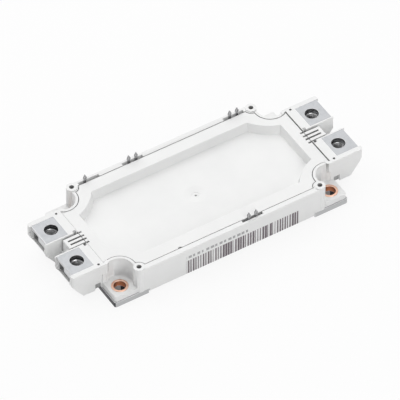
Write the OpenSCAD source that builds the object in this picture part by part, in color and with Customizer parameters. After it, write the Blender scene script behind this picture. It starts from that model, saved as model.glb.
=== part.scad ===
// Half-bridge power module: base plate, moulded frame and lid, M6 power terminals, press-fit control pins.
// Millimetres, +Z up, origin at the centre of the base plate's underside, long side along X.

/* [Base plate] */
// Length of the base plate
plate_l = 122; // [121:0.5:125]
// Width of the base plate and of the frame over its long walls
plate_w = 62; // [61:0.5:65]
// Thickness of the base plate
plate_t = 3; // [2:0.25:4]
// Length of each corner ear along the long side
ear_l = 17.5; // [16:0.5:19]
// How far the long sides are set back between the ears
side_setback = 1.6; // [1:0.1:2.2]
// Rounding of the plate's corners
plate_corner_r = 1; // [0.5:0.1:1.5]

/* [Mounting screws] */
// Distance of the mounting holes from the plate's ends
mount_edge_x = 6; // [5.5:0.1:6.5]
// Distance of the mounting holes from the plate's long sides
mount_edge_y = 6; // [5.5:0.1:6.5]
// Bore of the mounting holes and sleeves
mount_d = 5.5; // [5:0.1:6]
// Wall of the copper sleeves
sleeve_wall = 1.15; // [0.8:0.05:1.4]
// How far a sleeve stands above its plastic foot
sleeve_proud = 0.2; // [0.1:0.05:0.4]
// Radius of the open recess round each screw
recess_r = 6.5; // [6.2:0.1:6.8]

/* [Frame] */
// Height of the power terminals and posts above the heatsink face
terminal_h = 17; // [16.5:0.5:20]
// Step from the terminal faces down to the wall tops
rim_step = 0.5; // [0.3:0.1:0.8]
// Thickness of the long walls
wall_t = 4; // [3.8:0.1:4.4]
// Thickness of the end walls
end_wall_t = 4.6; // [4.3:0.1:5]
// How far the end walls stop short of the plate's ends
end_inset = 0.4; // [0.2:0.1:1]
// Thickness of the wall round each screw recess
recess_wall = 2.2; // [2:0.1:2.6]
// Thickness of the feet over the ears
foot_t = 2.8; // [2.2:0.1:3.4]
// How far a foot stops short of the ear's edges
foot_inset = 0.5; // [0.3:0.1:1]
// Height of the lower edge of the frame above the heatsink face, between the ears
skirt_gap = 1.4; // [0.8:0.1:1.8]
// Running clearance between the frame and the edge of the plate
plate_gap = 0.15; // [0.1:0.05:0.3]
// Height of the silicone bead under the frame
seal_h = 0.4; // [0.3:0.05:0.5]
// Width of the bead
seal_w = 0.8; // [0.6:0.1:1]
// Distance of the bead from the frame's inner face
seal_in = 0.5; // [0.4:0.05:0.6]

/* [Circuit-board posts] */
// Distance of the posts from the plate's ends
post_edge_x = 13.75; // [13.5:0.05:14]
// Distance of the posts from the frame's long sides
post_edge_y = 2.25; // [2:0.05:2.5]
// Diameter of a post
post_d = 5.1; // [4.8:0.1:5.4]
// Hole in a post for a thread-forming screw
post_hole_d = 2.3; // [2:0.1:2.6]
// Depth of the hole in a post
post_hole_h = 10; // [7:0.5:10]
// Plastic between a post and the frame's inner space
post_back = 1.2; // [1:0.1:1.4]

/* [Power terminals] */
// Distance of the terminal screws past the plate's ends
term_out = 7.5; // [7:0.25:8]
// Distance of the terminal screws from the centre line
term_y = 11; // [10.75:0.05:11.25]
// Width of a terminal face
term_w = 13; // [12.6:0.1:13.2]
// How far a terminal face reaches past its screw
term_reach = 6.5; // [6.2:0.1:6.8]
// Thickness of the busbar sheet
bar_t = 1.5; // [1.2:0.1:1.6]
// Inside radius of the busbar bends
bend_r = 0.6; // [0.4:0.1:0.8]
// Hole in a terminal face
term_hole_d = 6.4; // [6.2:0.1:6.8]
// Width of the busbar inside the frame
bar_w = 9; // [8:0.25:9.5]
// Nut size across its flats
nut_af = 10; // [9.8:0.1:10]
// Thickness of a nut
nut_h = 5; // [4.6:0.1:5.2]
// Bore of the nut's thread
nut_bore_d = 5; // [4.9:0.1:5.2]
// Clearance round a nut in its pocket
nut_gap = 0.15; // [0.1:0.05:0.2]
// Room between a nut and the terminal face above it
nut_drop = 1; // [0.4:0.1:1.4]
// Plastic between a busbar's leg and its nut
leg_gap = 0.35; // [0.3:0.05:0.5]
// Width of the foot that a busbar stands on its track with
foot_w = 5; // [4:0.25:6]
// Width of the foot next to the middle gap
foot_mid_w = 3; // [2.5:0.1:3.2]
// Width of the foot on the outer track
foot_out_w = 2.3; // [2:0.1:2.6]
// Distance of those two feet from the edge of their track
foot_edge = 0.4; // [0.3:0.05:0.6]
// Length of the tongue that carries a foot
tongue_l = 6; // [5:0.25:8]

/* [Terminal blocks] */
// How far the blocks reach past the plate's ends
block_l = 15; // [14.6:0.1:15.6]
// Plastic beside a terminal face, on the block's outer side
block_wall_out = 2.3; // [2:0.1:2.6]
// Plastic beside a terminal face, on the block's inner side
block_wall_in = 0.6; // [0.5:0.05:0.9]
// Rounding of a block's outer corners
block_corner_r = 1.2; // [0.6:0.1:1.5]
// Height of the undercut that runs round the blocks
undercut_z = 11.3; // [10.8:0.1:11.8]
// Depth of the undercut
undercut_d = 0.5; // [0.3:0.1:0.8]
// Height of the blocks' lower edge
block_z = 2.6; // [2.2:0.1:3]
// Plastic under the space for a terminal screw
block_floor = 2; // [1.5:0.1:2.4]
// How far the lower edge of a block slopes back under its end
block_slope = 5.3; // [4:0.1:6]
// Length of the ribs between the blocks, past the end wall
rib_l = 6.6; // [5:0.1:7]
// How far the creepage slots run into the lid
slot_in = 1.8; // [1.4:0.1:2]
// Plastic that closes the inner creepage slots at their outer end
slot_land = 1.5; // [1:0.1:2]
// Length of the small pits at the blocks' inner corners
pit_l = 1.5; // [1:0.1:1.6]
// Width of those pits
pit_w = 2.3; // [1.6:0.1:2.6]
// Depth of those pits
pit_h = 3; // [2:0.1:4]
// Length of the notch at the foot of a block's outer side
heel_l = 3; // [2:0.1:4]
// Height of that notch
heel_h = 3.8; // [2:0.1:5]
// Depth of that notch
heel_d = 1; // [0.5:0.1:1.4]
// Width of a creepage slot
slot_w = 0.9; // [0.7:0.1:1]
// Depth of the creepage slots
slot_h = 7; // [5:0.5:8]

/* [Lid] */
// Depth of the gel over the base plate
gel_h = 6.5; // [6:0.1:6.8]
// Room between the gel and the tray
gel_room = 0.7; // [0.5:0.1:1]
// Thickness of the lid
lid_t = 1.8; // [1.5:0.1:2]
// Width of the frame's top beside the lid, on the long sides
rim_w = 2.5; // [2.4:0.05:2.6]
// Width of the frame's top beside the lid, on the short sides
end_rim_w = 1.3; // [1:0.1:1.8]
// Wall between the lid and a screw recess
recess_rim_w = 1.2; // [1:0.1:1.4]
// Wall between the lid and a post
post_rim_w = 0.5; // [0.4:0.05:0.6]
// Joint gap all round the lid
lid_gap = 0.3; // [0.15:0.05:0.4]
// Flat land between the tray and the frame's end faces
tray_end_land = 7.6; // [7.4:0.1:9]
// Flat land between the tray and the frame's long sides
tray_side_land = 9; // [8:0.1:11]
// Draft of the tray's walls, from mouth to floor
tray_draft = 1.2; // [0.6:0.1:1.8]
// Radius of the tray's corner walls
tray_corner_r = 24; // [22:0.5:28]
// Distance of the tray's corner walls from the screws
tray_corner_gap = 12.1; // [11.9:0.1:12.8]
// Diameter of the gate dimple in the tray's floor
gate_d = 11.5; // [10:0.5:13]
// Depth of the gate dimple
gate_h = 0.9; // [0.5:0.05:1]
// Diameter of the ring in the middle of the dimple
gate_ring_d = 3.6; // [3:0.1:4.2]
// Diameter of the gate's own mark in the ring
gate_mark_d = 1.1; // [0.8:0.1:1.4]
// Height of the lid's locating rib
lid_rib_h = 2; // [1:0.25:2.5]
// Thickness of the lid's locating rib
lid_rib_t = 1.1; // [0.9:0.1:1.3]
// Radius of the small notch in the lid's edge
lid_notch_r = 1; // [0.6:0.1:1.2]

/* [Control pins] */
// Pitch of the control pins
pin_pitch = 3.81; // [3.79:0.01:3.83]
// Distance of the pin rows from the frame's long sides
pin_edge = 1.8; // [1.75:0.05:1.9]
// Height of the pin tips above the heatsink face
pin_tip_z = 20.5; // [20:0.1:22]
// Thickness of the pin sheet
pin_t = 0.64; // [0.5:0.02:0.7]
// Width of a pin's shank
pin_w = 1.1; // [0.9:0.05:1.2]
// Width of the pin's sprung eye
pin_eye_w = 1.7; // [1.5:0.05:1.9]
// Length of the pin's sprung eye
pin_eye_l = 2.6; // [2.4:0.1:3]
// Width of the slit in the eye
pin_slit_w = 0.44; // [0.36:0.02:0.5]
// Length of a pin's inner foot
pin_foot_l = 5.1; // [5:0.1:5.3]
// Length of the notch in the frame round a pair of pins
notch_l = 10.8; // [10:0.1:11]
// Depth of the notches
notch_h = 3.2; // [2.4:0.1:3.4]

/* [Substrates and chips] */
// Room between the ceramics and the frame's end walls
ceramic_end = 10; // [9.6:0.1:10.4]
// Gap between the ceramics and the frame's long walls
ceramic_side = 4.5; // [4:0.1:4.5]
// Gap between two ceramics
ceramic_gap = 1; // [0.8:0.1:1.2]
// Thickness of the ceramic
ceramic_t = 0.38; // [0.32:0.01:0.63]
// Thickness of each copper layer
copper_t = 0.3; // [0.2:0.01:0.4]
// Bare edge of ceramic round the copper
copper_edge = 0.8; // [0.7:0.05:0.9]
// Gap between tracks
track_gap = 0.8; // [0.6:0.1:1]
// Width of the gate and sense tracks
gate_track_w = 4.7; // [4.2:0.1:5]
// Width of a chip across the module
chip_w = 10; // [9:0.25:10]
// Share of a row's chip length that the transistor takes
igbt_share = 0.59; // [0.55:0.01:0.62]
// Room at the end of a row for a busbar's foot
chip_end = 4.1; // [4:0.1:5]
// Space between the two chips of a row
chip_gap = 1.5; // [1:0.1:2]
// Margin between a chip and the end of its track
chip_edge = 0.8; // [0.5:0.1:1]
// Margin between a row of chips and the tracks' gap
row_edge = 2.2; // [2:0.1:2.6]
// Space between the two rows of chips
row_gap = 5.4; // [5.2:0.1:6]
// Thickness of a chip
chip_t = 0.2; // [0.12:0.01:0.3]
// Radius of a bond wire's loop
loop_r = 2.1; // [2:0.05:2.2]
// Width of the bond wires
wire_d = 0.4; // [0.3:0.05:0.5]
// Length of the thermistor
therm_l = 3.2; // [2.4:0.1:3.4]
// Width of the thermistor
therm_w = 1.6; // [1.2:0.1:1.8]
// Height of the thermistor
therm_h = 0.9; // [0.6:0.1:1.1]

/* [Hidden] */
$fn = 48;
eps = 0.02;              // how far a cut runs past the face it opens

white = "whitesmoke";
nickel = "silver";
plated = "lightgray";
copper = "#c87850";

half_l = plate_l / 2;
half_w = plate_w / 2;
mount_x = half_l - mount_edge_x;
mount_y = half_w - mount_edge_y;
sleeve_r = mount_d / 2 + sleeve_wall;
post_x = half_l - post_edge_x;
post_y = half_w - post_edge_y;
pin_y = half_w - pin_edge;
post_r = post_d / 2;

frame_top = terminal_h - rim_step;
seat_z = frame_top - lid_t;              // ledge that the lid lies on
end_x = half_l - end_inset;              // outer face of the end walls
cavity_x = end_x - end_wall_t;
cavity_y = half_w - wall_t;
lid_x = end_x - end_rim_w;
lid_y = half_w - rim_w;
skirt_y = half_w - side_setback + plate_gap;
ear_x = half_l - ear_l;                  // where the ears start

tray_l = 2 * (end_x - tray_end_land);
tray_w = 2 * (half_w - tray_side_land);
tray_corner_turn = 60;                   // direction from a screw to its corner wall's centre

term_x = half_l + term_out;
block_x = half_l + block_l;
block_in = term_y - term_w / 2 - block_wall_in;
block_out = term_y + term_w / 2 + block_wall_out;
bar_bottom = terminal_h - bar_t;
nut_floor = bar_bottom - nut_drop - nut_h;
term_end_x = term_x + term_reach;
nut_r = nut_af / sqrt(3);
pocket_x = term_x - nut_af / 2 - nut_gap;      // inner wall of a nut pocket
leg_x = pocket_x - leg_gap - bar_t;            // inner face of the busbar's leg
mouth_r = 1.2;                                 // rounding of a pocket's mouth
mouth_z = nut_floor - mouth_r;                 // floor of a pocket's mouth
mouth_gap = 0.3;                               // plastic beside a pocket's mouth, and behind it
mouth_l = block_x - term_x - nut_af / 2 - mouth_gap;
lip_h = 2;                                     // height of the opening under a terminal face
relief_z = block_z + block_floor;              // end of the space for the terminal screw
rib_x = end_x + rib_l;
rib_w = (block_in - 2 * slot_w) / 3.3;         // half of the middle rib
slot_x = lid_x - slot_in;                      // inner end of the creepage slots
slots = [[rib_w, rib_x - slot_land], [block_in - slot_w, rib_x + eps]];
pit_x = leg_x - 0.4 - pit_l;
core_r = 0.6;                                  // small core hole beside each terminal
core_h = 6;
block_root = cavity_x + 1;

gel_z = plate_t + gel_h;
tray_under = gel_z + gel_room;
tray_z = tray_under + lid_t;
tray_h = frame_top - tray_z;
lid_notch_x = -0.42 * half_l;

track_z = plate_t + 2 * copper_t + ceramic_t;  // top of the tracks
chip_z = track_z + chip_t;
wire_r = wire_d / 2;
wire_land = 0.5;                               // from a wire to the edge of what it stands on
ceramic_w = 2 * (cavity_y - ceramic_side);
ceramic_l = 2 * (cavity_x - ceramic_end - ceramic_gap) / 3;
ceramic_pitch = ceramic_l + ceramic_gap;
track_x = ceramic_l / 2 - copper_edge;
track_y = ceramic_w / 2 - copper_edge;
row_margin = 1;                                // from a row of chips to the edge of its track
lower_margin = 0.6;
gate_y = track_y - gate_track_w - track_gap;   // where the upper chips' track ends
upper_y = gate_y - row_edge - chip_w;          // near edge of the upper chips
lower_y = upper_y - row_gap - chip_w;          // near edge of the lower chips
lower_top = upper_y - row_margin - track_gap;  // where the lower chips' track ends
outer_top = lower_y - lower_margin - track_gap;
chips_l = 2 * track_x - chip_edge - chip_gap - chip_end;
igbt_l = igbt_share * chips_l;
diode_l = chips_l - igbt_l;
igbt_x = -track_x + chip_edge;
diode_x = igbt_x + igbt_l + chip_gap;
wire_gap = 0.3;                                // room above the bond wires
shelf_z = chip_z + loop_r + wire_r + wire_gap; // underside of the busbars' inner run
foot_x = ceramic_pitch + track_x - bar_t - bend_r;
heel = 1;                                      // a foot's length on its track, past its upright
pad_z = shelf_z - wire_gap;                    // underside of the control pins' inner feet
pad_in = pin_y + pin_t / 2 - pin_foot_l;       // inner end of a control pin's foot

// Rows of pins: [pitches from the centre, side]
PINS = [[2.5, -1], [3.5, -1], [-10.5, 1], [-4.5, 1], [-3.5, 1], [9.5, 1], [10.5, 1]];
// Notches: [pitches from the centre, side]
NOTCHES = [[3, -1], [-10, 1], [-4, 1], [10, 1]];
// Each busbar: [end, side, inner edge of its foot, outer edge of its foot]
foot_in = upper_y + chip_w / 4;
low_foot_in = -lower_y - foot_w;
BAR_DC_PLUS = [-1, 1, foot_in, foot_in + foot_w];
BAR_DC_MINUS = [-1, -1, foot_edge - outer_top, foot_edge - outer_top + foot_out_w];
BAR_AC_1 = [1, 1, lower_top - foot_edge - foot_mid_w, lower_top - foot_edge];
BAR_AC_2 = [1, -1, low_foot_in, low_foot_in + foot_w];
BARS = [BAR_DC_PLUS, BAR_DC_MINUS, BAR_AC_1, BAR_AC_2];

// ---- helpers ----

module four_ways() {
    for (mx = [0, 1], my = [0, 1]) mirror([mx, 0, 0]) mirror([0, my, 0]) children();
}

module on_side(end, side) {
    mirror([end < 0 ? 1 : 0, 0, 0]) mirror([0, side < 0 ? 1 : 0, 0]) children();
}

module slab(z0, z1) {
    translate([0, 0, z0]) linear_extrude(z1 - z0) children();
}

module block(a, b) {
    translate(a) cube(b - a);
}

// A plan drawn in X and Z, given thickness from y0 to y1
module along_y(y0, y1) {
    translate([0, y1, 0]) rotate([90, 0, 0]) linear_extrude(y1 - y0) children();
}

// A plan drawn in Y and Z, given thickness from x0 to x1
module along_x(x0, x1) {
    translate([x0, 0, 0]) rotate([90, 0, 90]) linear_extrude(x1 - x0) children();
}

module rounded_rect(x0, y0, x1, y1, r) {
    translate([x0 + r, y0]) square([x1 - x0 - 2 * r, y1 - y0]);
    translate([x0, y0 + r]) square([x1 - x0, y1 - y0 - 2 * r]);
    for (x = [x0 + r, x1 - r], y = [y0 + r, y1 - r]) translate([x, y]) circle(r);
}

// The open corner round one screw, grown by g
module corner_plan(g) {
    far = half_w;
    translate([mount_x, mount_y]) circle(recess_r + g);
    translate([mount_x - g, block_out - g]) square([far, far]);
    translate([mount_x - recess_r - g, mount_y]) square([far, far]);
}

// The lid's outline, smaller all round by g
module lid_plan(g) {
    difference() {
        square([2 * (lid_x - g), 2 * (lid_y - g)], center = true);
        four_ways() corner_plan(recess_rim_w + g);
        four_ways() translate([post_x, post_y]) circle(post_r + post_rim_w + g);
    }
}

// The frame's inner space, smaller all round by g
module cavity_plan(g) {
    difference() {
        square([2 * (cavity_x - g), 2 * (cavity_y - g)], center = true);
        four_ways() corner_plan(recess_wall + g);
        four_ways() translate([post_x, post_y]) circle(post_r + post_back + g);
    }
}

// The tray as a solid, larger all round by g, from z0 up to z1; its walls lean by the draft
module tray_solid(g, z0, z1) {
    lean = tray_draft / tray_h;
    far = tray_corner_r - tray_corner_gap;
    function half(full, z) = full / 2 + g - (frame_top - z) * lean;
    difference() {
        intersection() {
            along_y(-half_w, half_w)
                polygon([[-half(tray_l, z0), z0], [half(tray_l, z0), z0],
                         [half(tray_l, z1), z1], [-half(tray_l, z1), z1]]);
            along_x(-half_l, half_l)
                polygon([[-half(tray_w, z0), z0], [half(tray_w, z0), z0],
                         [half(tray_w, z1), z1], [-half(tray_w, z1), z1]]);
        }
        // corner walls, bowed round the screws
        four_ways() translate([mount_x + far * cos(tray_corner_turn),
                               mount_y + far * sin(tray_corner_turn), z0 - eps])
            cylinder(h = z1 - z0 + 2 * eps,
                     r1 = tray_corner_r - g + (frame_top - z0 + eps) * lean,
                     r2 = tray_corner_r - g + (frame_top - z1 - eps) * lean);
    }
}

// ---- base plate and sleeves ----

module base_plate() {
    color(nickel) difference() {
        slab(0, plate_t) difference() {
            rounded_rect(-half_l, -half_w, half_l, half_w, plate_corner_r);
            for (side = [-1, 1])
                translate([-ear_x, side * half_w - side_setback]) square([2 * ear_x, 2 * side_setback]);
        }
        four_ways() translate([mount_x, mount_y, -eps]) cylinder(h = plate_t + 2 * eps, d = mount_d);
    }
}

module mounting_sleeve(end, side) {
    color(copper) translate([end * mount_x, side * mount_y, plate_t])
        difference() {
            cylinder(h = foot_t + sleeve_proud, r = sleeve_r);
            translate([0, 0, -eps]) cylinder(h = foot_t + sleeve_proud + 2 * eps, d = mount_d);
        }
}

// ---- busbars and nuts ----

// A quarter bend of the sheet; turn sets which quarter
module bend(turn) {
    rotate(turn) intersection() {
        difference() {
            circle(bend_r + bar_t);
            circle(bend_r);
        }
        square(bend_r + bar_t);
    }
}

// The busbar's side view: face, bend, leg, bend and the run into the frame
module bar_profile(top_only) {
    turn_x = leg_x + bar_t + bend_r;
    translate([turn_x, bar_bottom]) square([term_end_x - turn_x, bar_t]);
    translate([turn_x, bar_bottom - bend_r]) bend(90);
    if (!top_only) {
        translate([leg_x, shelf_z + bar_t + bend_r])
            square([bar_t, bar_bottom - bend_r - shelf_z - bar_t - bend_r]);
        translate([leg_x - bend_r, shelf_z + bar_t + bend_r]) bend(270);
        translate([foot_x + bar_t, shelf_z]) square([leg_x - bend_r - foot_x - bar_t, bar_t]);
    }
}

// A busbar with no screw hole, as the frame is moulded round it
module bar_blank(b) {
    shelf_in = term_y - bar_w / 2;
    shelf_out = term_y + bar_w / 2;
    on_side(b[0], b[1]) {
        along_y(term_y - term_w / 2, term_y + term_w / 2) bar_profile(true);
        along_y(shelf_in, shelf_out) bar_profile(false);
        // tongue that carries the foot
        block([foot_x, min(b[2], shelf_in), shelf_z],
              [foot_x + tongue_l, max(b[3], shelf_out), shelf_z + bar_t]);
        block([foot_x, b[2], track_z], [foot_x + bar_t, b[3], shelf_z + bar_t]);
        block([foot_x - heel, b[2], track_z], [foot_x + bar_t, b[3], track_z + bar_t / 2]);
    }
}

module busbar(b) {
    color(plated) difference() {
        bar_blank(b);
        on_side(b[0], b[1]) translate([term_x, term_y, bar_bottom - eps])
            cylinder(h = bar_t + 2 * eps, d = term_hole_d);
    }
}

module terminal_nut(b) {
    color(nickel) on_side(b[0], b[1]) translate([term_x, term_y, nut_floor]) difference() {
        intersection() {
            rotate(30) cylinder(h = nut_h, r = nut_r, $fn = 6);
            // corners turned off at the top face
            cylinder(h = nut_h, r1 = nut_r + nut_h, r2 = nut_af / 2);
        }
        translate([0, 0, -eps]) cylinder(h = nut_h + 2 * eps, d = nut_bore_d);
    }
}

// ---- frame ----

module terminal_block() {
    difference() {
        union() {
            slab(undercut_z, terminal_h) {
                rounded_rect(block_root, block_in, block_x, block_out, block_corner_r);
            }
            along_y(block_in, block_out - undercut_d) block_side();
        }
        // pocket that the nut slides into from the end
        translate([term_x, term_y, nut_floor]) rotate(30)
            cylinder(h = bar_bottom - nut_floor, r = nut_r + nut_gap, $fn = 6);
        block([term_x, term_y - nut_r - nut_gap, nut_floor],
              [block_x + eps, term_y + nut_r + nut_gap, bar_bottom]);
        along_x(block_x - mouth_l, block_x + eps)
            rounded_rect(term_y - term_w / 2 + mouth_gap, mouth_z,
                         term_y + term_w / 2 - mouth_gap, bar_bottom, mouth_r);
        block([term_end_x, term_y - term_w / 2, bar_bottom - lip_h],
              [block_x + eps, term_y + term_w / 2, terminal_h + eps]);
        // space below the nut for the end of the terminal screw
        translate([term_x, term_y, relief_z]) cylinder(h = nut_floor - relief_z + eps, d = term_hole_d);
        // small core hole beside the lid
        translate([leg_x + core_r / 5, block_out - 2.75 * core_r, terminal_h - core_h])
            cylinder(h = core_h + eps, r = core_r);
        // notch at the foot of the outer side, beside the plate
        block([half_l, block_out - undercut_d - heel_d, block_z - eps],
              [half_l + plate_gap + heel_l, block_out, block_z + heel_h]);
    }
}

// Side view of a block below its undercut
module block_side() {
    tip = block_x - undercut_d;
    slope_z = undercut_z - block_corner_r;
    polygon([[half_l + plate_gap, block_z], [tip - block_slope, block_z], [tip, slope_z],
             [tip, undercut_z + eps], [block_root, undercut_z + eps], [block_root, plate_t],
             [half_l + plate_gap, plate_t]]);
}

module foot_plan() {
    rounded_rect(ear_x - side_setback, mount_y - 2 * sleeve_r,
                 half_l - foot_inset, half_w - foot_inset, plate_corner_r);
}

module pin_notch(n) {
    mid = n[0] * pin_pitch;
    on_side(1, n[1]) block([mid - notch_l / 2, lid_y - eps, frame_top - notch_h],
                           [mid + notch_l / 2, pin_y + pin_t, frame_top + eps]);
}

module frame_solid() {
    slab(plate_t, frame_top) difference() {
        square([2 * end_x, plate_w], center = true);
        four_ways() corner_plan(0);
    }
    // skirts over the set-back sides of the plate
    for (side = [-1, 1])
        on_side(1, side) block([-ear_x + plate_gap, skirt_y, skirt_gap],
                               [ear_x - plate_gap, half_w, plate_t + eps]);
    four_ways() {
        slab(plate_t, plate_t + foot_t) foot_plan();
        translate([post_x, post_y, plate_t]) cylinder(h = terminal_h - plate_t, r = post_r);
        terminal_block();
    }
    // ribs between the blocks of one end
    for (end = [-1, 1])
        on_side(end, 1) {
            block([block_root, -block_in - eps, plate_t], [rib_x, block_in + eps, frame_top]);
            block([half_l + plate_gap, -block_in - eps, block_z], [rib_x, block_in + eps, plate_t + eps]);
        }
}

module frame() {
    color(white) difference() {
        frame_solid();
        slab(plate_t - eps, seat_z + eps) cavity_plan(0);
        slab(seat_z, terminal_h + eps) lid_plan(0);
        frame_seal_solid();
        for (n = NOTCHES) pin_notch(n);
        for (b = BARS) bar_blank(b);
        for (p = PINS) pin_root(p);
        four_ways() {
            translate([mount_x, mount_y, plate_t - eps])
                cylinder(h = foot_t + 2 * eps, r = sleeve_r + 0.05);
            translate([post_x, post_y, terminal_h - post_hole_h])
                cylinder(h = post_hole_h + eps, d = post_hole_d);
            for (s = slots)
                block([slot_x, s[0], frame_top - slot_h], [s[1], s[0] + slot_w, frame_top + eps]);
            slab(terminal_h - pit_h, terminal_h + eps)
                rounded_rect(pit_x, block_in - slot_w, pit_x + pit_l, block_in - slot_w + pit_w, pit_l / 4);
        }
    }
}

module frame_seal_solid() {
    slab(plate_t, plate_t + seal_h) difference() {
        cavity_plan(-seal_in - seal_w);
        cavity_plan(-seal_in);
    }
}

module frame_seal() {
    color("#c8c8c0") frame_seal_solid();
}

// ---- lid ----

module lid() {
    dish_r = (gate_d * gate_d / 4 + gate_h * gate_h) / (2 * gate_h);
    color(white) difference() {
        union() {
            slab(seat_z, frame_top) lid_plan(lid_gap);
            tray_solid(lid_t, tray_under, seat_z + eps);
            slab(seat_z - lid_rib_h, seat_z + eps) difference() {
                cavity_plan(lid_gap);
                cavity_plan(lid_gap + lid_rib_t);
            }
        }
        tray_solid(0, tray_z, frame_top + eps);
        // gate dimple: a shallow dish with a ring and the gate's mark
        translate([0, 0, tray_z - gate_h + dish_r]) sphere(dish_r, $fn = 96);
        translate([0, 0, tray_z - 1.16 * gate_h]) cylinder(h = gate_h, d = gate_ring_d);
        translate([0, 0, tray_z - 1.5 * gate_h]) cylinder(h = gate_h, d = gate_mark_d);
        four_ways() for (s = slots)
            block([slot_x, s[0], seat_z - eps], [lid_x + eps, s[0] + slot_w, frame_top + eps]);
        // small notch in the edge, where a blade lifts the lid
        translate([lid_notch_x, -lid_y, frame_top - lid_notch_r])
            cylinder(h = lid_notch_r + eps, r = lid_notch_r);
    }
}

// ---- control pins ----

module pin_frame(p) {
    translate([p[0] * pin_pitch, 0, 0]) on_side(1, p[1]) children();
}

// Part of a pin that the frame holds: shank and inner foot
module pin_root(p) {
    pin_frame(p) {
        block([-pin_w / 2, pin_y - pin_t / 2, pad_z], [pin_w / 2, pin_y + pin_t / 2, frame_top]);
        block([-pin_w / 2, pad_in, pad_z], [pin_w / 2, pin_y + pin_t / 2, pad_z + pin_t]);
    }
}

module control_pin(p) {
    eye_z = (frame_top + pin_tip_z) / 2;
    long = pin_eye_l / 2;
    short = pin_eye_l * 0.15;
    slit = pin_eye_l * 0.35;
    color(nickel) {
        pin_root(p);
        pin_frame(p) along_y(pin_y - pin_t / 2, pin_y + pin_t / 2) difference() {
            polygon([[-pin_w / 2, frame_top - eps], [pin_w / 2, frame_top - eps],
                     [pin_w / 2, eye_z - long], [pin_eye_w / 2, eye_z - short],
                     [pin_eye_w / 2, eye_z + short], [pin_w / 3, eye_z + long],
                     [pin_w / 5, pin_tip_z], [-pin_w / 5, pin_tip_z],
                     [-pin_w / 3, eye_z + long], [-pin_eye_w / 2, eye_z + short],
                     [-pin_eye_w / 2, eye_z - short], [-pin_w / 2, eye_z - long]]);
            rounded_rect(-pin_slit_w / 2, eye_z - slit, pin_slit_w / 2, eye_z + slit, pin_slit_w * 0.48);
        }
    }
}

// ---- substrates and chips ----

// Places a thing on one substrate; the left one is laid out as a mirror image
module on_substrate(i) {
    translate([i * ceramic_pitch, 0, 0]) mirror([i < 0 ? 1 : 0, 0, 0]) children();
}

module ceramic(i) {
    color("ivory") on_substrate(i) slab(plate_t + copper_t, plate_t + copper_t + ceramic_t)
        square([ceramic_l, ceramic_w], center = true);
}

module back_copper(i) {
    color(copper) on_substrate(i) slab(plate_t, plate_t + copper_t)
        square([2 * track_x, 2 * track_y], center = true);
}

module top_copper(i) {
    low = lower_y - lower_margin;
    color(copper) on_substrate(i) slab(track_z - copper_t, track_z) {
        translate([-track_x, upper_y - row_margin]) square([2 * track_x, gate_y - upper_y + row_margin]);
        translate([-track_x, low]) square([2 * track_x, lower_top - low]);
        translate([-track_x, -track_y]) square([2 * track_x, outer_top + track_y]);
        for (x = [-track_x, track_gap / 2])
            translate([x, gate_y + track_gap])
                square([track_x - track_gap / 2, track_y - gate_y - track_gap]);
    }
}

module chips(x0, length) {
    for (i = [-1:1], y = [upper_y, lower_y])
        on_substrate(i) block([x0, y, track_z], [x0 + length, y + chip_w, chip_z]);
}

module igbt_chips() {
    color("#555a60") chips(igbt_x, igbt_l);
}

module diode_chips() {
    color("#6a6f75") chips(diode_x, diode_l);
}

// One bond wire: a half loop from z0 at y0 down to the track at y0 - 2 loop_r
module chip_wire(x, y0) {
    translate([x, y0 - loop_r, chip_z]) rotate([90, 0, 90])
        rotate_extrude(angle = 180) translate([loop_r, 0]) circle(wire_r, $fn = 24);
    translate([x, y0 - 2 * loop_r, track_z]) cylinder(h = chip_t, r = wire_r, $fn = 24);
}

module chip_wires() {
    color("gainsboro") for (i = [-1:1], y = [upper_y, lower_y], k = [0:3])
        on_substrate(i) {
            chip_wire(igbt_x + igbt_l * (k + 0.5) / 4, y + chip_w * 0.12);
            chip_wire(diode_x + diode_l * (k + 0.5) / 4, y + chip_w * 0.12);
        }
}

// One thin wire from a control pin's foot down to its track
module pin_wires() {
    y0 = track_y - wire_land;
    y1 = pad_in + wire_land;
    r = (y1 - y0) / 2;
    color("gainsboro") for (p = PINS) pin_frame(p) {
        translate([0, y0, track_z]) cylinder(h = pad_z + pin_t - track_z, r = wire_r, $fn = 24);
        translate([0, (y0 + y1) / 2, pad_z + pin_t]) rotate([90, 0, 90])
            rotate_extrude(angle = 180) translate([r, 0]) circle(wire_r, $fn = 24);
    }
}

module thermistor() {
    y0 = gate_y + track_gap + therm_w / 3;
    color("#3a3a3a") block([-therm_l / 2, y0, track_z], [therm_l / 2, y0 + therm_w, track_z + therm_h]);
}

module gel() {
    dry_z = shelf_z - wire_gap / 2;
    dry_y = ceramic_w / 2 + copper_t;
    color([0.9, 0.95, 1, 0.4]) difference() {
        slab(plate_t, gel_z) cavity_plan(0);
        // room for the substrates and their wires
        block([-1.5 * ceramic_pitch, -dry_y, plate_t - eps], [1.5 * ceramic_pitch, dry_y, dry_z]);
        for (b = BARS) bar_blank(b);
        for (p = PINS) {
            pin_root(p);
            pin_frame(p) block([-wire_d, track_y - 2 * wire_land, plate_t],
                               [wire_d, pad_in + 2 * wire_land, gel_z + eps]);
        }
    }
}

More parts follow.
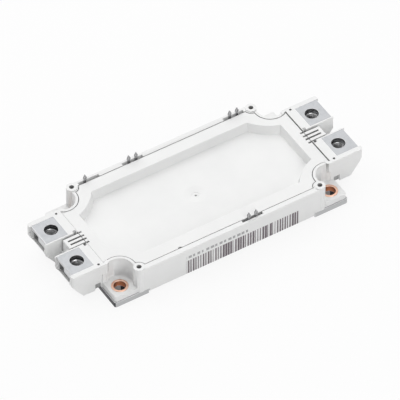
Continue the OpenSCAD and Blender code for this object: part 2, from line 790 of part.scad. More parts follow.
base_plate();
frame();
lid();
mounting_sleeve(-1, -1);  // mounting_sleeve_front_left
mounting_sleeve(1, -1);  // mounting_sleeve_front_right
mounting_sleeve(-1, 1);  // mounting_sleeve_back_left
mounting_sleeve(1, 1);  // mounting_sleeve_back_right
busbar(BAR_DC_PLUS);  // busbar_dc_plus
busbar(BAR_DC_MINUS);  // busbar_dc_minus
busbar(BAR_AC_1);  // busbar_ac_1
busbar(BAR_AC_2);  // busbar_ac_2
terminal_nut(BAR_DC_PLUS);  // terminal_nut_dc_plus
terminal_nut(BAR_DC_MINUS);  // terminal_nut_dc_minus
terminal_nut(BAR_AC_1);  // terminal_nut_ac_1
terminal_nut(BAR_AC_2);  // terminal_nut_ac_2
control_pin(PINS[0]);  // control_pin_1
control_pin(PINS[1]);  // control_pin_2
control_pin(PINS[2]);  // control_pin_3
control_pin(PINS[3]);  // control_pin_4
control_pin(PINS[4]);  // control_pin_5
control_pin(PINS[5]);  // control_pin_6
control_pin(PINS[6]);  // control_pin_7
ceramic(-1);  // ceramic_left
ceramic(0);  // ceramic_middle
ceramic(1);  // ceramic_right
back_copper(-1);  // back_copper_left
back_copper(0);  // back_copper_middle
back_copper(1);  // back_copper_right
top_copper(-1);  // top_copper_left
top_copper(0);  // top_copper_middle
top_copper(1);  // top_copper_right
igbt_chips();
diode_chips();
chip_wires();
pin_wires();
thermistor();
frame_seal();
gel();
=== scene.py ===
"""Half-bridge power module: nickel-plated base plate, white moulded frame and tray lid, screw terminals."""
from math import atan2, cos, hypot, pi, radians, sin

import bmesh
import bpy
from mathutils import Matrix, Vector
from mathutils.geometry import intersect_point_line


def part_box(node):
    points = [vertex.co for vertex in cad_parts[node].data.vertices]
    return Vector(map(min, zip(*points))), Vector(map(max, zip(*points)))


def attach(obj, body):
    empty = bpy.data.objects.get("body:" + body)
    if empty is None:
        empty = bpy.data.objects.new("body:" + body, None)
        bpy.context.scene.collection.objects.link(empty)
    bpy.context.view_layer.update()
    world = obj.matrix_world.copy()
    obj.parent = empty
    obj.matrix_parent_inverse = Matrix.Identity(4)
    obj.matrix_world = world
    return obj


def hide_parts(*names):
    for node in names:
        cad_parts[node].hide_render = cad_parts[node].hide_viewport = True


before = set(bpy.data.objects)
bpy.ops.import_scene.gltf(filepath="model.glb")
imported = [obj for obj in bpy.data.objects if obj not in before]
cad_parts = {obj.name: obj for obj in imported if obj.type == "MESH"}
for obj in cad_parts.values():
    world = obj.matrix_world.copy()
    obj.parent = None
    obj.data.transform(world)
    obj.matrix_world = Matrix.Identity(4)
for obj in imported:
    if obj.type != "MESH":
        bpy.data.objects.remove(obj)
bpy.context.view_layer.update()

mm = 0.001


# ---- Base plate ----
# A blanked and milled copper plate, nickel-plated all over. Its underside is the heatsink face, and its four
# ears stick out under the frame. The sheared ends are rougher than the rolled front and back, and painted near black
# as shade.

plate_edge = 0.25
ear_end_from, end_facing = 50, 0.6
noise_low, noise_high = 0.3, 0.7  # the band that holds nearly all of a noise's values
upright = 0.3                     # a face is upright when its normal rises less than this


def edit(piece):
    """Makes one piece the only selected one and opens it in edit mode with nothing selected."""
    bpy.ops.object.select_all(action="DESELECT")
    piece.select_set(True)
    bpy.context.view_layer.objects.active = piece
    bpy.ops.object.mode_set(mode="EDIT")
    bpy.ops.mesh.select_mode(type="VERT")
    bpy.ops.mesh.select_all(action="DESELECT")


def whole_copy(node, name, join=0.002, flat=0.2):
    """A copy of one solid of the model with its points joined (mm) and its flat faces made whole (degrees)."""
    piece = bpy.data.objects.new(name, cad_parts[node].data.copy())
    bpy.context.scene.collection.objects.link(piece)
    piece.data.materials.clear()
    edit(piece)
    bpy.ops.mesh.select_all(action="SELECT")
    bpy.ops.mesh.remove_doubles(threshold=join * mm)
    bpy.ops.mesh.dissolve_limited(angle_limit=radians(flat))
    bpy.ops.object.mode_set(mode="OBJECT")
    for mark in ("edge", "cut"):
        piece.data.attributes.new(mark, "FLOAT", "FACE")
    return piece


def above(height):
    """A rule that holds above a height in millimetres."""
    return lambda x, y, z: z > height


def folded_edges(mesh, steepest=115):
    """Middles of the edges where a surface turns back on itself."""
    shape = bmesh.new()
    shape.from_mesh(mesh)
    middles = [(edge.verts[0].co + edge.verts[1].co) / 2 for edge in shape.edges
               if len(edge.link_faces) == 2 and edge.calc_face_angle() > radians(steepest)]
    shape.free()
    return middles


def distance_to_edge(spot, start, end):
    """Distance from a spot to the nearest point of the edge between start and end."""
    nearest, share = intersect_point_line(spot, start, end)
    if share < 0:
        nearest = start
    elif share > 1:
        nearest = end
    return (nearest - spot).length


def select_outer_edges(shape, where, sharpest, no_room, clear):
    """Selects the sharp outer edges that the rule picks, apart from rounded ones and those near a fold."""
    edge_layer = shape.faces.layers.float["edge"]
    for edge in shape.edges:
        if len(edge.link_faces) != 2 or not edge.is_convex or edge.calc_face_angle() < radians(sharpest):
            continue
        start, end = (vert.co for vert in edge.verts)
        rounded = all(face[edge_layer] > 0.5 for face in edge.link_faces)
        if rounded or not where(*((start + end) / (2 * mm))):
            continue
        if all(distance_to_edge(spot, start, end) > clear for spot in no_room):
            edge.select_set(True)


def round_edges(piece, width, where, segments=3, sharpest=35, tries=8):
    """Rounds the outer edges whose middle lies where the rule says, and marks the new faces as edges, for wear on the
    metals and a painted highlight on the plastic.

    Where the rounding has no room and would fold over, the edges there stay sharp.
    """
    clear, same_spot = 3 * width * mm, 0.02 * mm
    plain = piece.data.copy()
    known = folded_edges(plain)
    no_room = []
    for _ in range(tries):
        edit(piece)
        bpy.ops.mesh.select_mode(type="EDGE")
        shape = bmesh.from_edit_mesh(piece.data)
        select_outer_edges(shape, where, sharpest, no_room, clear)
        bmesh.update_edit_mesh(piece.data)
        if not any(edge.select for edge in shape.edges):
            bpy.ops.object.mode_set(mode="OBJECT")
            break
        bpy.ops.mesh.bevel(offset=width * mm, segments=segments, affect="EDGES", clamp_overlap=False)
        shape = bmesh.from_edit_mesh(piece.data)
        edge_layer = shape.faces.layers.float["edge"]
        for face in shape.faces:
            if face.select:
                face[edge_layer] = 1.0
        bmesh.update_edit_mesh(piece.data)
        bpy.ops.object.mode_set(mode="OBJECT")
        folds = [spot for spot in folded_edges(piece.data)
                 if all((spot - other).length > same_spot for other in known)]
        if not folds:
            break
        no_room += folds
        bent = piece.data
        piece.data = plain.copy()
        bpy.data.meshes.remove(bent)
    bpy.data.meshes.remove(plain)


def mark_faces(piece, mark, rule):
    """Sets a mark on the faces that the rule picks by their middle in millimetres and their normal."""
    values = piece.data.attributes[mark].data
    for face in piece.data.polygons:
        if rule(face.center / mm, face.normal):
            values[face.index].value = 1.0


def finish_piece(piece, material, slot, *nodes):
    """Smooths a finished piece, gives it its material and body, and stands it in for its solids."""
    smooth_below = 32
    bpy.ops.object.select_all(action="DESELECT")
    piece.select_set(True)
    bpy.context.view_layer.objects.active = piece
    bpy.ops.object.shade_smooth_by_angle(angle=radians(smooth_below))
    even = piece.modifiers.new("Even normals", "WEIGHTED_NORMAL")
    even.keep_sharp = True
    bpy.ops.object.modifier_apply(modifier=even.name)
    piece.data.materials.append(material)
    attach(piece, "root")
    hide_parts(*nodes)


def new_material(name, metal=0.0):
    """A material with its Principled shader, ready for its own nodes."""
    material = bpy.data.materials.new(name)
    material.use_nodes = True
    shader = material.node_tree.nodes["Principled BSDF"]
    shader.inputs["Metallic"].default_value = metal
    return material, material.node_tree, shader


def add_math(tree, operation, first, second=0.0):
    """A Math node on two values, each a socket or a number."""
    node = tree.nodes.new("ShaderNodeMath")
    node.operation = operation
    for socket, value in zip(node.inputs, (first, second)):
        if isinstance(value, (int, float)):
            socket.default_value = value
        else:
            tree.links.new(value, socket)
    return node.outputs[0]


def mix_colours(tree, share, first, second):
    """A Mix node that lays the second colour over the first by a share. The second may be three numbers."""
    mix = tree.nodes.new("ShaderNodeMix")
    mix.data_type = "RGBA"
    under, upper, mixed = mix.inputs[6], mix.inputs[7], mix.outputs[2]
    tree.links.new(share, mix.inputs["Factor"])
    tree.links.new(first, under)
    if isinstance(second, tuple):
        upper.default_value = (*second, 1)
    else:
        tree.links.new(second, upper)
    return mixed


def object_place(tree):
    """The object coordinates of a shaded point."""
    return tree.nodes.new("ShaderNodeTexCoord").outputs["Object"]


def effect_group(name, inputs, outputs):
    """An empty node group with named inputs (name, kind, value) and outputs (name, kind)."""
    group = bpy.data.node_groups.new(name, "ShaderNodeTree")
    for label, kind, value in inputs:
        socket = group.interface.new_socket(label, in_out="INPUT", socket_type="NodeSocket" + kind)
        socket.default_value = value
    for label, kind in outputs:
        group.interface.new_socket(label, in_out="OUTPUT", socket_type="NodeSocket" + kind)
    return group, group.nodes.new("NodeGroupInput").outputs, group.nodes.new("NodeGroupOutput").inputs


def make_grain():
    """Fine unevenness of a surface: a height for bumps and a mask for patches, both from noise."""
    grain_detail, patch_detail, noise_roughness = 3.0, 4.0, 0.55
    group, given, result = effect_group(
        "Surface grain",
        [("Grain size mm", "Float", 0.2), ("Patch size mm", "Float", 12.0), ("Stretch", "Float", 1.0)],
        [("Height", "Float"), ("Patches", "Float")])
    stretch = group.nodes.new("ShaderNodeCombineXYZ")
    stretch.inputs["Y"].default_value = stretch.inputs["Z"].default_value = 1.0
    group.links.new(given["Stretch"], stretch.inputs["X"])
    stretched = group.nodes.new("ShaderNodeVectorMath")
    stretched.operation = "MULTIPLY"
    group.links.new(object_place(group), stretched.inputs[0])
    group.links.new(stretch.outputs["Vector"], stretched.inputs[1])
    for label, out, detail in (("Grain size mm", "Height", grain_detail), ("Patch size mm", "Patches", patch_detail)):
        noise = group.nodes.new("ShaderNodeTexNoise")
        noise.inputs["Detail"].default_value = detail
        noise.inputs["Roughness"].default_value = noise_roughness
        group.links.new(stretched.outputs["Vector"], noise.inputs["Vector"])
        group.links.new(add_math(group, "DIVIDE", 1 / mm, given[label]), noise.inputs["Scale"])
        group.links.new(noise.outputs["Fac"], result[out])
    return group


def make_marked(name, mark):
    """Mixes a colour over another on the faces that carry a mark, broken up by noise."""
    least, spread = 0.6, 0.8
    group, given, result = effect_group(
        name, [("Colour", "Color", (0.5, 0.5, 0.5, 1)), ("Marked colour", "Color", (1, 1, 1, 1)),
               ("Amount", "Float", 0.5), ("Break up mm", "Float", 1.0)], [("Colour", "Color")])
    marks = group.nodes.new("ShaderNodeAttribute")
    marks.attribute_name = mark
    noise = group.nodes.new("ShaderNodeTexNoise")
    group.links.new(object_place(group), noise.inputs["Vector"])
    group.links.new(add_math(group, "DIVIDE", 1 / mm, given["Break up mm"]), noise.inputs["Scale"])
    uneven = add_math(group, "ADD", add_math(group, "MULTIPLY", noise.outputs["Fac"], spread), least)
    broken = add_math(group, "MULTIPLY", marks.outputs["Fac"], uneven)
    share = add_math(group, "MULTIPLY", broken, given["Amount"])
    group.links.new(mix_colours(group, share, given["Colour"], given["Marked colour"]), result["Colour"])
    return group


surface_grain = make_grain()
# The edge group brightens rounded edges: wear on the metals, a painted highlight on the white plastic.
edge_wear_and_highlight = make_marked("Edge wear and painted highlight", "edge")
# The cut group darkens marked faces: real cut faces, and painted shade in holes, bores, slots, pockets and seams.
cut_faces_and_shade = make_marked("Cut faces and painted shade", "cut")


def add_grain(tree, shader, size, patch, bump, depth, rough, change, stretch=1.0):
    """Places the grain group in a material: bumps on the normal, patches on the roughness."""
    grain = tree.nodes.new("ShaderNodeGroup")
    grain.node_tree = surface_grain
    for label, value in (("Grain size mm", size), ("Patch size mm", patch), ("Stretch", stretch)):
        grain.inputs[label].default_value = value
    relief = tree.nodes.new("ShaderNodeBump")
    relief.inputs["Strength"].default_value = bump
    relief.inputs["Distance"].default_value = depth * mm
    tree.links.new(grain.outputs["Height"], relief.inputs["Height"])
    tree.links.new(relief.outputs["Normal"], shader.inputs["Normal"])
    level = tree.nodes.new("ShaderNodeMapRange")
    for label, value in (("From Min", noise_low), ("From Max", noise_high),
                         ("To Min", rough - change), ("To Max", rough + change)):
        level.inputs[label].default_value = value
    tree.links.new(grain.outputs["Patches"], level.inputs["Value"])
    tree.links.new(level.outputs["Result"], shader.inputs["Roughness"])
    return grain.outputs["Patches"]


def two_tone(tree, mask, low, high):
    """A colour that runs from low to high with a mask."""
    ramp = tree.nodes.new("ShaderNodeValToRGB")
    for stop, place, colour in zip(ramp.color_ramp.elements, (noise_low, noise_high), (low, high)):
        stop.position = place
        stop.color = (*colour, 1)
    tree.links.new(mask, ramp.inputs["Fac"])
    return ramp.outputs["Color"]


def over(tree, group, colour, marked, amount, break_up):
    """Places one of the marked-face groups over a colour."""
    node = tree.nodes.new("ShaderNodeGroup")
    node.node_tree = group
    tree.links.new(colour, node.inputs["Colour"])
    node.inputs["Marked colour"].default_value = (*marked, 1)
    node.inputs["Amount"].default_value = amount
    node.inputs["Break up mm"].default_value = break_up
    return node.outputs["Colour"]


def colour_in(tree, colour, shader):
    """Gives a shader its colour."""
    tree.links.new(colour, shader.inputs["Base Color"])


def marked_metal(name, grain, low, high, cut, worn):
    """A metal of two close tones, with a darker colour on its cut faces, mostly painted shade, and a colour of its
    own on its worn edges.
    """
    material, tree, shader = new_material(name, metal=1.0)
    tone = two_tone(tree, add_grain(tree, shader, **grain), low, high)
    tone = over(tree, cut_faces_and_shade, tone, **cut)
    colour_in(tree, over(tree, edge_wear_and_highlight, tone, **worn), shader)
    return material


def sheared_end(middle, normal):
    """True on the end faces of the plate's ears."""
    return abs(normal.x) > end_facing and abs(middle.x) > ear_end_from


nickel = marked_metal(
    "Satin nickel plating",
    grain=dict(size=0.35, patch=7.0, bump=0.3, depth=0.02, rough=0.4, change=0.07, stretch=0.08),
    low=(0.42, 0.425, 0.43), high=(0.54, 0.545, 0.55),
    cut=dict(marked=(0.04, 0.04, 0.045), amount=1.0, break_up=0.6),
    worn=dict(marked=(0.74, 0.74, 0.75), amount=0.7, break_up=0.5))
plate = whole_copy("base_plate", "base_plate_nickel")
round_edges(plate, plate_edge, lambda x, y, z: True)
# The ears' end faces are painted near black, as shade.
mark_faces(plate, "cut", sheared_end)
finish_piece(plate, nickel, "nickel_plated_copper", "base_plate")

# ---- Mounting sleeves ----
# Four turned copper tubes pressed into the plastic feet. They take the load of the screws, so that the
# plastic is not crushed. The rim is faced bright, and the upright walls of the bore are painted a darker orange as
# shade.

sleeve_edge, sleeve_rim_from = 0.3, 4

copper = marked_metal(
    "Bare turned copper",
    grain=dict(size=0.12, patch=1.6, bump=0.25, depth=0.01, rough=0.36, change=0.08),
    low=(0.86, 0.47, 0.33), high=(0.95, 0.62, 0.48),
    cut=dict(marked=(0.72, 0.24, 0.10), amount=0.8, break_up=0.8),
    worn=dict(marked=(0.98, 0.74, 0.60), amount=0.7, break_up=0.3))
for corner in ("front_left", "front_right", "back_left", "back_right"):
    sleeve = whole_copy("mounting_sleeve_" + corner, "sleeve_" + corner)
    round_edges(sleeve, sleeve_edge, above(sleeve_rim_from))
    # The bore's upright walls are painted darker, as shade.
    mark_faces(sleeve, "cut", lambda middle, normal: abs(normal.z) < upright)
    finish_piece(sleeve, copper, "copper", "mounting_sleeve_" + corner)

# ---- Substrates, chips, wires, seal and gel ----
# Closed in under the lid: fired alumina plates with a copper layer on each face, silicon chips soldered on,
# aluminium wires bonded on with ultrasound, and soft gel poured over them. A silicone bead seals the frame to
# the base plate. They keep the model's own solids.


def plain_finish(name, metal, grain, low, high):
    """A material for a solid of the model that has no marked faces."""
    material, tree, shader = new_material(name, metal)
    colour_in(tree, two_tone(tree, add_grain(tree, shader, **grain), low, high), shader)
    return material, shader


alumina, _ = plain_finish(
    "Fired alumina", metal=0.0,
    grain=dict(size=0.1, patch=6.0, bump=0.1, depth=0.01, rough=0.6, change=0.05),
    low=(0.82, 0.80, 0.76), high=(0.88, 0.87, 0.84))
etched, _ = plain_finish(
    "Etched copper", metal=1.0,
    grain=dict(size=0.15, patch=5.0, bump=0.15, depth=0.01, rough=0.45, change=0.08),
    low=(0.62, 0.27, 0.15), high=(0.78, 0.40, 0.26))
silicon, _ = plain_finish(
    "Metallised silicon", metal=0.7,
    grain=dict(size=0.4, patch=2.0, bump=0.05, depth=0.005, rough=0.25, change=0.06),
    low=(0.16, 0.17, 0.20), high=(0.26, 0.27, 0.30))
wire, _ = plain_finish(
    "Drawn aluminium wire", metal=1.0,
    grain=dict(size=0.08, patch=1.0, bump=0.1, depth=0.005, rough=0.3, change=0.05),
    low=(0.74, 0.74, 0.75), high=(0.84, 0.84, 0.85))
dark_ceramic, _ = plain_finish(
    "Dark chip ceramic", metal=0.0,
    grain=dict(size=0.1, patch=1.0, bump=0.2, depth=0.01, rough=0.55, change=0.08),
    low=(0.03, 0.03, 0.03), high=(0.06, 0.06, 0.06))
silicone, _ = plain_finish(
    "Cured silicone bead", metal=0.0,
    grain=dict(size=0.5, patch=3.0, bump=0.3, depth=0.05, rough=0.5, change=0.08),
    low=(0.55, 0.55, 0.50), high=(0.65, 0.65, 0.60))
potting, shader = plain_finish(
    "Soft clear gel", metal=0.0,
    grain=dict(size=2.0, patch=20.0, bump=0.2, depth=0.05, rough=0.12, change=0.04),
    low=(0.70, 0.74, 0.78), high=(0.78, 0.82, 0.86))
shader.inputs["Transmission Weight"].default_value = 0.6

for word, finish in (("ceramic", alumina), ("_copper_", etched), ("_chips", silicon), ("_wires", wire),
                     ("thermistor", dark_ceramic), ("frame_seal", silicone), ("gel", potting)):
    for node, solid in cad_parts.items():
        if word in node:
            solid.data.materials.clear()
            solid.data.materials.append(finish)

# ---- Busbars ----
# Stamped from copper sheet, bent down behind the terminal face and plated dull tin. The stamp leaves a
# rolled rim on the face and round its screw hole, and a torn band on the cut sides, whose darker colour is partly the
# bare torn metal and partly painted shade.

terminals = ("dc_plus", "dc_minus", "ac_1", "ac_2")
bar_edge, bar_top_from, bar_face_from = 0.18, 14, 15

tin = marked_metal(
    "Dull tin plating",
    grain=dict(size=0.3, patch=2.6, bump=0.4, depth=0.03, rough=0.46, change=0.1),
    low=(0.40, 0.41, 0.425), high=(0.52, 0.53, 0.545),
    cut=dict(marked=(0.16, 0.16, 0.165), amount=0.7, break_up=0.5),
    worn=dict(marked=(0.80, 0.80, 0.81), amount=0.7, break_up=0.4))
for terminal in terminals:
    bar = whole_copy("busbar_" + terminal, "bar_" + terminal)
    round_edges(bar, bar_edge, above(bar_top_from))
    # The cut sides get a darker colour: partly the bare torn metal, partly painted shade.
    mark_faces(bar, "cut", lambda middle, normal: abs(normal.z) < upright and middle.z > bar_face_from)
    finish_piece(bar, tin, "plated_terminal", "busbar_" + terminal)

# ---- Terminal nuts ----
# M6 hexagon nuts, cold-forged steel with a thin zinc coat and a cut thread. They slide into pockets under
# the busbars. The bore is countersunk on both faces.

nut_edge, countersink, rim_r = 0.12, 0.4, 3.2
past_countersink = 1.2 * countersink
thread_pitch, thread_depth, rows_a_turn, run_out = 1.0, 0.54, 8, 0.3
flank_slope, crest_flat = 1.6, 0.2
bore_face_slack, bore_slack, end_slack = 0.05, 0.02, 0.01


def near_axis(centre, radius):
    """A rule that holds within a radius in millimetres of an upright axis."""
    return lambda x, y, z: hypot(x - centre.x / mm, y - centre.y / mm) < radius


def cut_thread(nut, centre):
    """Turns the nut's plain bore into a right-hand thread between its countersinks."""
    def from_axis(point):
        return hypot(point.x - centre.x, point.y - centre.y) / mm

    edit(nut)
    bpy.ops.mesh.select_mode(type="FACE")
    shape = bmesh.from_edit_mesh(nut.data)
    bore = min(from_axis(vert.co) for vert in shape.verts)
    for face in shape.faces:
        if abs(face.normal.z) < 0.1 and from_axis(face.calc_center_median()) < bore + bore_face_slack:
            face.select_set(True)
    bmesh.update_edit_mesh(nut.data)
    low, high = (pick(vert.co.z for vert in shape.verts if vert.select) for pick in (min, max))
    bpy.ops.mesh.delete(type="ONLY_FACE")
    bpy.ops.mesh.select_mode(type="EDGE")
    shape = bmesh.from_edit_mesh(nut.data)
    for edge in shape.edges:
        edge.select_set(edge.is_boundary or edge.is_wire)
    loose = [edge for edge in shape.edges if edge.is_wire]
    bmesh.ops.delete(shape, geom=loose, context="EDGES")
    bmesh.update_edit_mesh(nut.data)
    rows = round((high - low) / mm / thread_pitch * rows_a_turn)
    bpy.ops.mesh.bridge_edge_loops(number_cuts=rows - 1)
    shape = bmesh.from_edit_mesh(nut.data)
    for vert in shape.verts:
        between_ends = low + end_slack * mm < vert.co.z < high - end_slack * mm
        if from_axis(vert.co) < bore + bore_slack and between_ends:
            offset = vert.co - centre
            turn = (vert.co.z / mm / thread_pitch - atan2(offset.y, offset.x) / (2 * pi)) % 1
            cut = max(0, min(1, flank_slope * (1 - abs(2 * turn - 1)) - crest_flat)) * thread_depth
            cut *= min(1, (vert.co.z - low) / (run_out * mm), (high - vert.co.z) / (run_out * mm))
            size = (bore + cut) / from_axis(vert.co)
            vert.co.x = centre.x + offset.x * size
            vert.co.y = centre.y + offset.y * size
    bmesh.update_edit_mesh(nut.data)
    bpy.ops.mesh.select_all(action="SELECT")
    bpy.ops.mesh.normals_make_consistent(inside=False)
    bpy.ops.object.mode_set(mode="OBJECT")


zinc = marked_metal(
    "Zinc-plated steel",
    grain=dict(size=0.2, patch=2.0, bump=0.3, depth=0.015, rough=0.36, change=0.08),
    low=(0.62, 0.63, 0.64), high=(0.74, 0.745, 0.75),
    cut=dict(marked=(0.10, 0.10, 0.105), amount=0.85, break_up=0.5),
    worn=dict(marked=(0.78, 0.78, 0.79), amount=0.7, break_up=0.4))
for terminal in terminals:
    node = "terminal_nut_" + terminal
    low, high = (Vector(corner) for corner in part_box(node))
    axis = (low + high) / 2
    nut = whole_copy(node, "nut_" + terminal)
    inner_rim = near_axis(axis, rim_r)
    round_edges(nut, nut_edge, lambda *middle: not inner_rim(*middle))
    round_edges(nut, countersink, inner_rim, segments=1)
    cut_thread(nut, axis)
    thread_from, thread_to = low.z / mm + past_countersink, high.z / mm - past_countersink
    # The thread's faces are painted dark, as shade inside the bore.
    mark_faces(nut, "cut", lambda middle, normal: inner_rim(*middle) and thread_from < middle.z < thread_to)
    finish_piece(nut, zinc, "zinc_steel", node)

# ---- Frame ----
# One white moulding: walls, feet, board posts, terminal blocks and the ribs between them. The mould leaves a
# fine matt grain and rounded edges. A laser has marked plain bars and dashes on its front wall.

wide_edge, fine_edge = 0.22, 0.1
seen_above, seen_beyond_x, seen_beyond_y = 14.5, 51, 29.5
front_face = -30.9
bars = dict(reach=(-24.0, 35.0), rise=(1.4, 9.4), pitch=1.3, thin=0.22, wide=0.85, seed=3.5,
            ink_or_shade=(0.11, 0.08, 0.10), strength=0.95)
dashes = dict(reach=(-24.0, 8.0), rise=(10.6, 12.1), pitch=2.3, thin=0.35, wide=0.85, seed=91.5,
              ink_or_shade=(0.22, 0.22, 0.23), strength=0.7)
shade = dict(marked=(0.30, 0.30, 0.30), amount=0.8, break_up=2.0)
plastic_ior = 1.5

post_x, post_y, post_hole_r = 47.25, 28.75, 1.15
core_x, core_y, core_r = 61.62, 18.15, 0.6
slots_in, slots_out, slots_side, slots_top = 57.4, 67.0, 3.85, 16.4
pocket_x, pocket_y, pocket_side, pocket_low, pocket_high = 63.0, 11, 6.1, 9.0, 15.45
ledge_x, ledge_y, ledge_low, ledge_high = 59.4, 28.6, 14.2, 16.3
facing_up, top_from, hole_top, hole_slack = 0.9, 16, 16.9, 0.05


def make_plastic():
    """The white of both mouldings, with soft flow patches and paler rounded edges, a painted highlight."""
    group, given, result = effect_group("Moulded white", [("Patches", "Float", 0.5)], [("Colour", "Color")])
    tone = two_tone(group, given["Patches"], (0.835, 0.838, 0.835), (0.868, 0.870, 0.866))
    tone = over(group, edge_wear_and_highlight, tone, marked=(0.90, 0.90, 0.90), amount=0.6, break_up=1.0)
    group.links.new(tone, result["Colour"])
    return group


moulded_white = make_plastic()


def plastic_colour(tree, patches):
    """Places the mouldings' white in a material."""
    node = tree.nodes.new("ShaderNodeGroup")
    node.node_tree = moulded_white
    tree.links.new(patches, node.inputs["Patches"])
    return node.outputs["Colour"]


def open_pockets(piece):
    """Cuts away the skin that has no thickness between each nut pocket and the space of its busbar."""
    straight = 0.99
    shape = bmesh.new()
    shape.from_mesh(piece.data)
    for under in [face for face in shape.faces if face.normal.z < -straight and len(face.verts) == 4]:
        corners = set(under.verts)
        for upper in {face for vert in under.verts for face in vert.link_faces if face.normal.z > straight}:
            if not corners <= set(upper.verts):
                continue
            skin = upper
            for edge in list(under.edges):
                if all(vert in skin.verts for vert in edge.verts) and edge not in skin.edges:
                    other = bmesh.utils.face_split(skin, *edge.verts)[0]
                    skin = other if corners <= set(other.verts) else skin
            rim = list(under.edges)
            shape.faces.remove(under)
            shape.faces.remove(skin)
            for edge in rim:
                if edge.is_wire:
                    shape.edges.remove(edge)
            break
    shape.to_mesh(piece.data)
    shape.free()


def in_view(x, y, z):
    """True for the edges of the frame that can be seen once it is closed."""
    return z > seen_above or abs(x) > seen_beyond_x or abs(y) > seen_beyond_y


def in_shade(middle, normal):
    """True on the walls of post holes, core holes, slots, nut pockets and the lid's ledge, which get painted shade.
    """
    x, y, z = abs(middle.x), abs(middle.y), middle.z
    if abs(normal.z) > facing_up and z > top_from:
        return False
    in_post = hypot(x - post_x, y - post_y) < post_hole_r + hole_slack and z < hole_top
    in_core = hypot(x - core_x, y - core_y) < core_r + hole_slack and z < hole_top
    in_slots = slots_in < x < slots_out and y < slots_side and z < slots_top
    in_pocket = x > pocket_x and abs(y - pocket_y) < pocket_side and pocket_low < z < pocket_high
    inward = normal.x * middle.x + normal.y * middle.y < 0 or normal.z > facing_up
    on_ledge = x < ledge_x and y < ledge_y and ledge_low < z < ledge_high and inward
    return in_post or in_core or in_slots or in_pocket or on_ledge


def axes_of(tree, place):
    """The X, Y and Z of a place, in metres."""
    axes = tree.nodes.new("ShaderNodeSeparateXYZ")
    tree.links.new(place, axes.inputs["Vector"])
    return axes.outputs


def between(tree, value, low, high):
    """A mask that is one where a value in metres lies between two in millimetres."""
    past_low = add_math(tree, "GREATER_THAN", value, low * mm)
    return add_math(tree, "MULTIPLY", past_low, add_math(tree, "LESS_THAN", value, high * mm))


def stripes(tree, along, pitch, thin, wide, seed):
    """A mask of plain stripes at an even pitch, whose widths vary at random from thin to wide."""
    step = add_math(tree, "DIVIDE", along, pitch * mm)
    chance = tree.nodes.new("ShaderNodeTexWhiteNoise")
    chance.noise_dimensions = "1D"
    tree.links.new(add_math(tree, "ADD", add_math(tree, "FLOOR", step), seed), chance.inputs["W"])
    width = add_math(tree, "ADD", add_math(tree, "MULTIPLY", chance.outputs["Value"], wide - thin), thin)
    return add_math(tree, "LESS_THAN", add_math(tree, "FRACT", step), width)


def print_or_shade(tree, colour, mask, ink_or_shade, strength):
    """Mixes a colour over another by a mask: ink for the frame's marking, painted shade for the lid's sprue pit."""
    return mix_colours(tree, add_math(tree, "MULTIPLY", mask, strength), colour, ink_or_shade)


body = whole_copy("frame", "frame_moulding")
open_pockets(body)
round_edges(body, wide_edge, in_view)
round_edges(body, fine_edge, in_view)
# The walls of holes, slots, nut pockets and the lid's ledge are painted darker, as shade.
mark_faces(body, "cut", in_shade)

white, tree, shader = new_material("White moulded plastic, marked")
shader.inputs["IOR"].default_value = plastic_ior
patches = add_grain(tree, shader, size=0.18, patch=15.0, bump=0.15, depth=0.02, rough=0.44, change=0.05)
along, back, height = axes_of(tree, object_place(tree))
front = add_math(tree, "LESS_THAN", back, front_face * mm)
tone = plastic_colour(tree, patches)
for row in (bars, dashes):
    field = add_math(tree, "MULTIPLY", between(tree, along, *row["reach"]), between(tree, height, *row["rise"]))
    strokes = stripes(tree, along, row["pitch"], row["thin"], row["wide"], row["seed"])
    mask = add_math(tree, "MULTIPLY", add_math(tree, "MULTIPLY", field, front), strokes)
    tone = print_or_shade(tree, tone, mask, row["ink_or_shade"], row["strength"])
colour_in(tree, over(tree, cut_faces_and_shade, tone, **shade), shader)
finish_piece(body, white, "white_plastic", "frame")

# ---- Control pins ----
# Punched from copper strip and tinned, seven in all. The eye near the tip springs shut as it is pressed into
# the board. Its punched sides are duller than its flat faces.

pin_edge, pin_top_from, pin_side_facing = 0.06, 16.5, 0.4

bright_tin = marked_metal(
    "Bright tinned pin",
    grain=dict(size=0.1, patch=1.0, bump=0.2, depth=0.01, rough=0.3, change=0.06),
    low=(0.36, 0.36, 0.37), high=(0.5, 0.5, 0.51),
    cut=dict(marked=(0.2, 0.2, 0.2), amount=0.6, break_up=0.4),
    worn=dict(marked=(0.7, 0.7, 0.71), amount=0.6, break_up=0.3))
for number in range(1, 8):
    pin = whole_copy(f"control_pin_{number}", f"pin_{number}")
    round_edges(pin, pin_edge, above(pin_top_from))
    mark_faces(pin, "cut", lambda middle, normal: abs(normal.x) > pin_side_facing and middle.z > pin_top_from)
    finish_piece(pin, bright_tin, "tinned_pin", f"control_pin_{number}")

# ---- Lid ----
# A white moulded lid with an eight-sided tray. It drops into the frame's ledge, and the gate's dimple and the
# pit of the cut sprue, painted dark as shade, stay in the middle of the tray.

lid_wide_edge, lid_fine_edge, lid_from, lid_side_from = 0.2, 0.08, 11, 13
gate_pit_r, gate_pit_shade, gate_pit_shade_strength = 0.5, (0.12, 0.12, 0.12), 0.9


def disc(tree, radius):
    """A mask that is one within a radius in millimetres of the upright axis through the middle."""
    flat = tree.nodes.new("ShaderNodeVectorMath")
    flat.operation = "MULTIPLY"
    flat.inputs[1].default_value = (1, 1, 0)
    tree.links.new(object_place(tree), flat.inputs[0])
    reach = tree.nodes.new("ShaderNodeVectorMath")
    reach.operation = "LENGTH"
    tree.links.new(flat.outputs["Vector"], reach.inputs[0])
    return add_math(tree, "LESS_THAN", reach.outputs["Value"], radius * mm)


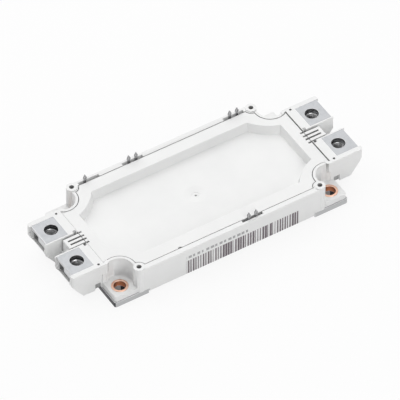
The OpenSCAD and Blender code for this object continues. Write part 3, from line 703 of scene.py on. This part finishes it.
def outer_side(middle, normal):
    """True on the lid's upright outer sides, where the shade of the seam is painted on."""
    outward = normal.x * middle.x + normal.y * middle.y > 0
    return abs(normal.z) < upright and middle.z > lid_side_from and outward


cover = whole_copy("lid", "lid_moulding")
round_edges(cover, lid_wide_edge, above(lid_from))
round_edges(cover, lid_fine_edge, above(lid_from))
mark_faces(cover, "cut", outer_side)

lid_white, tree, shader = new_material("White moulded plastic")
shader.inputs["IOR"].default_value = plastic_ior
patches = add_grain(tree, shader, size=0.18, patch=15.0, bump=0.12, depth=0.02, rough=0.42, change=0.05)
# A dark disc is painted over the sprue's small pit, as shade.
tone = print_or_shade(tree, plastic_colour(tree, patches), disc(tree, gate_pit_r), gate_pit_shade, gate_pit_shade_strength)
colour_in(tree, over(tree, cut_faces_and_shade, tone, **shade), shader)
finish_piece(cover, lid_white, "white_plastic", "lid")

# ---- Studio ----
# A pale floor that glows a little for the camera, so that it fades into the white backdrop. Its glow is weaker under
# the module, a painted shadow. Three soft lamps and a long-lens camera.

floor_grey, floor_rough, floor_size, floor_drop = 0.85, 0.9, 8, 0.02
glow_share, painted_shadow_strength, shade_x, shade_y = 0.88, 0.6, 58, 29
sky_strength = 0.3

floor_finish, tree, shader = new_material("Studio floor")
shader.inputs["Base Color"].default_value = (floor_grey, floor_grey, floor_grey, 1)
shader.inputs["Roughness"].default_value = floor_rough
glow = tree.nodes.new("ShaderNodeEmission")
rays = tree.nodes.new("ShaderNodeLightPath").outputs
seen = add_math(tree, "MAXIMUM", rays["Is Camera Ray"], rays["Is Glossy Ray"])
seen = add_math(tree, "MAXIMUM", seen, rays["Is Transmission Ray"])
along, back, height = axes_of(tree, object_place(tree))
# Under the module the glow is cut back: a painted shadow.
under = add_math(tree, "MULTIPLY", between(tree, along, -shade_x, shade_x), between(tree, back, -shade_y, shade_y))
painted_shadow = add_math(tree, "MULTIPLY", under, painted_shadow_strength)
share = add_math(tree, "MULTIPLY", seen, add_math(tree, "SUBTRACT", glow_share, painted_shadow))
blend = tree.nodes.new("ShaderNodeMixShader")
tree.links.new(share, blend.inputs["Fac"])
tree.links.new(shader.outputs["BSDF"], blend.inputs[1])
tree.links.new(glow.outputs["Emission"], blend.inputs[2])
tree.links.new(blend.outputs["Shader"], tree.nodes["Material Output"].inputs["Surface"])
bpy.ops.object.select_all(action="DESELECT")
bpy.ops.mesh.primitive_plane_add(size=floor_size, location=(0, 0, -floor_drop * mm))
floor = bpy.context.active_object
floor.name = "studio_floor"
floor.data.materials.append(floor_finish)

world = bpy.data.worlds.new("Studio world")
bpy.context.scene.world = world
world.use_nodes = True
sky = world.node_tree.nodes["Background"]
sky.inputs["Color"].default_value = (1, 1, 1, 1)
sky.inputs["Strength"].default_value = sky_strength


def direction(azimuth, elevation):
    """The direction towards a place seen at an azimuth and elevation from the module, in degrees."""
    azimuth, elevation = radians(azimuth), radians(elevation)
    return Vector((sin(azimuth) * cos(elevation), -cos(azimuth) * cos(elevation), sin(elevation)))


def add_lamp(name, azimuth, elevation, distance, size, power):
    """A square soft lamp that looks at the module's middle."""
    towards = direction(azimuth, elevation)
    bpy.ops.object.select_all(action="DESELECT")
    bpy.ops.object.light_add(type="AREA", location=towards * distance)
    lamp = bpy.context.active_object
    lamp.name = name
    lamp.data.size = size
    lamp.data.energy = power
    lamp.rotation_euler = towards.to_track_quat("Z", "Y").to_euler()


add_lamp("back_lamp", azimuth=158, elevation=55, distance=1.0, size=1.8, power=12.0)
add_lamp("side_lamp", azimuth=-140, elevation=45, distance=0.9, size=0.7, power=1.2)
add_lamp("front_lamp", azimuth=-4, elevation=28, distance=0.8, size=0.5, power=2.1)

view_azimuth, view_elevation, lens, sensor, across = -31.95, 46, 500, 36, 178.65 * mm
aim_height, aim_right = 8 * mm, 1.9
view_from = direction(view_azimuth, view_elevation)
right = Vector((cos(radians(view_azimuth)), sin(radians(view_azimuth)), 0))
aim = Vector((0, 0, aim_height)) + right * aim_right * mm
bpy.ops.object.select_all(action="DESELECT")
bpy.ops.object.camera_add(location=aim + view_from * across * lens / sensor)
camera = bpy.context.active_object
camera.rotation_euler = view_from.to_track_quat("Z", "Y").to_euler()
camera.data.lens = lens
camera.data.clip_start, camera.data.clip_end = 0.1, 20
bpy.context.scene.camera = camera
bpy.context.scene.view_settings.view_transform = "Standard"
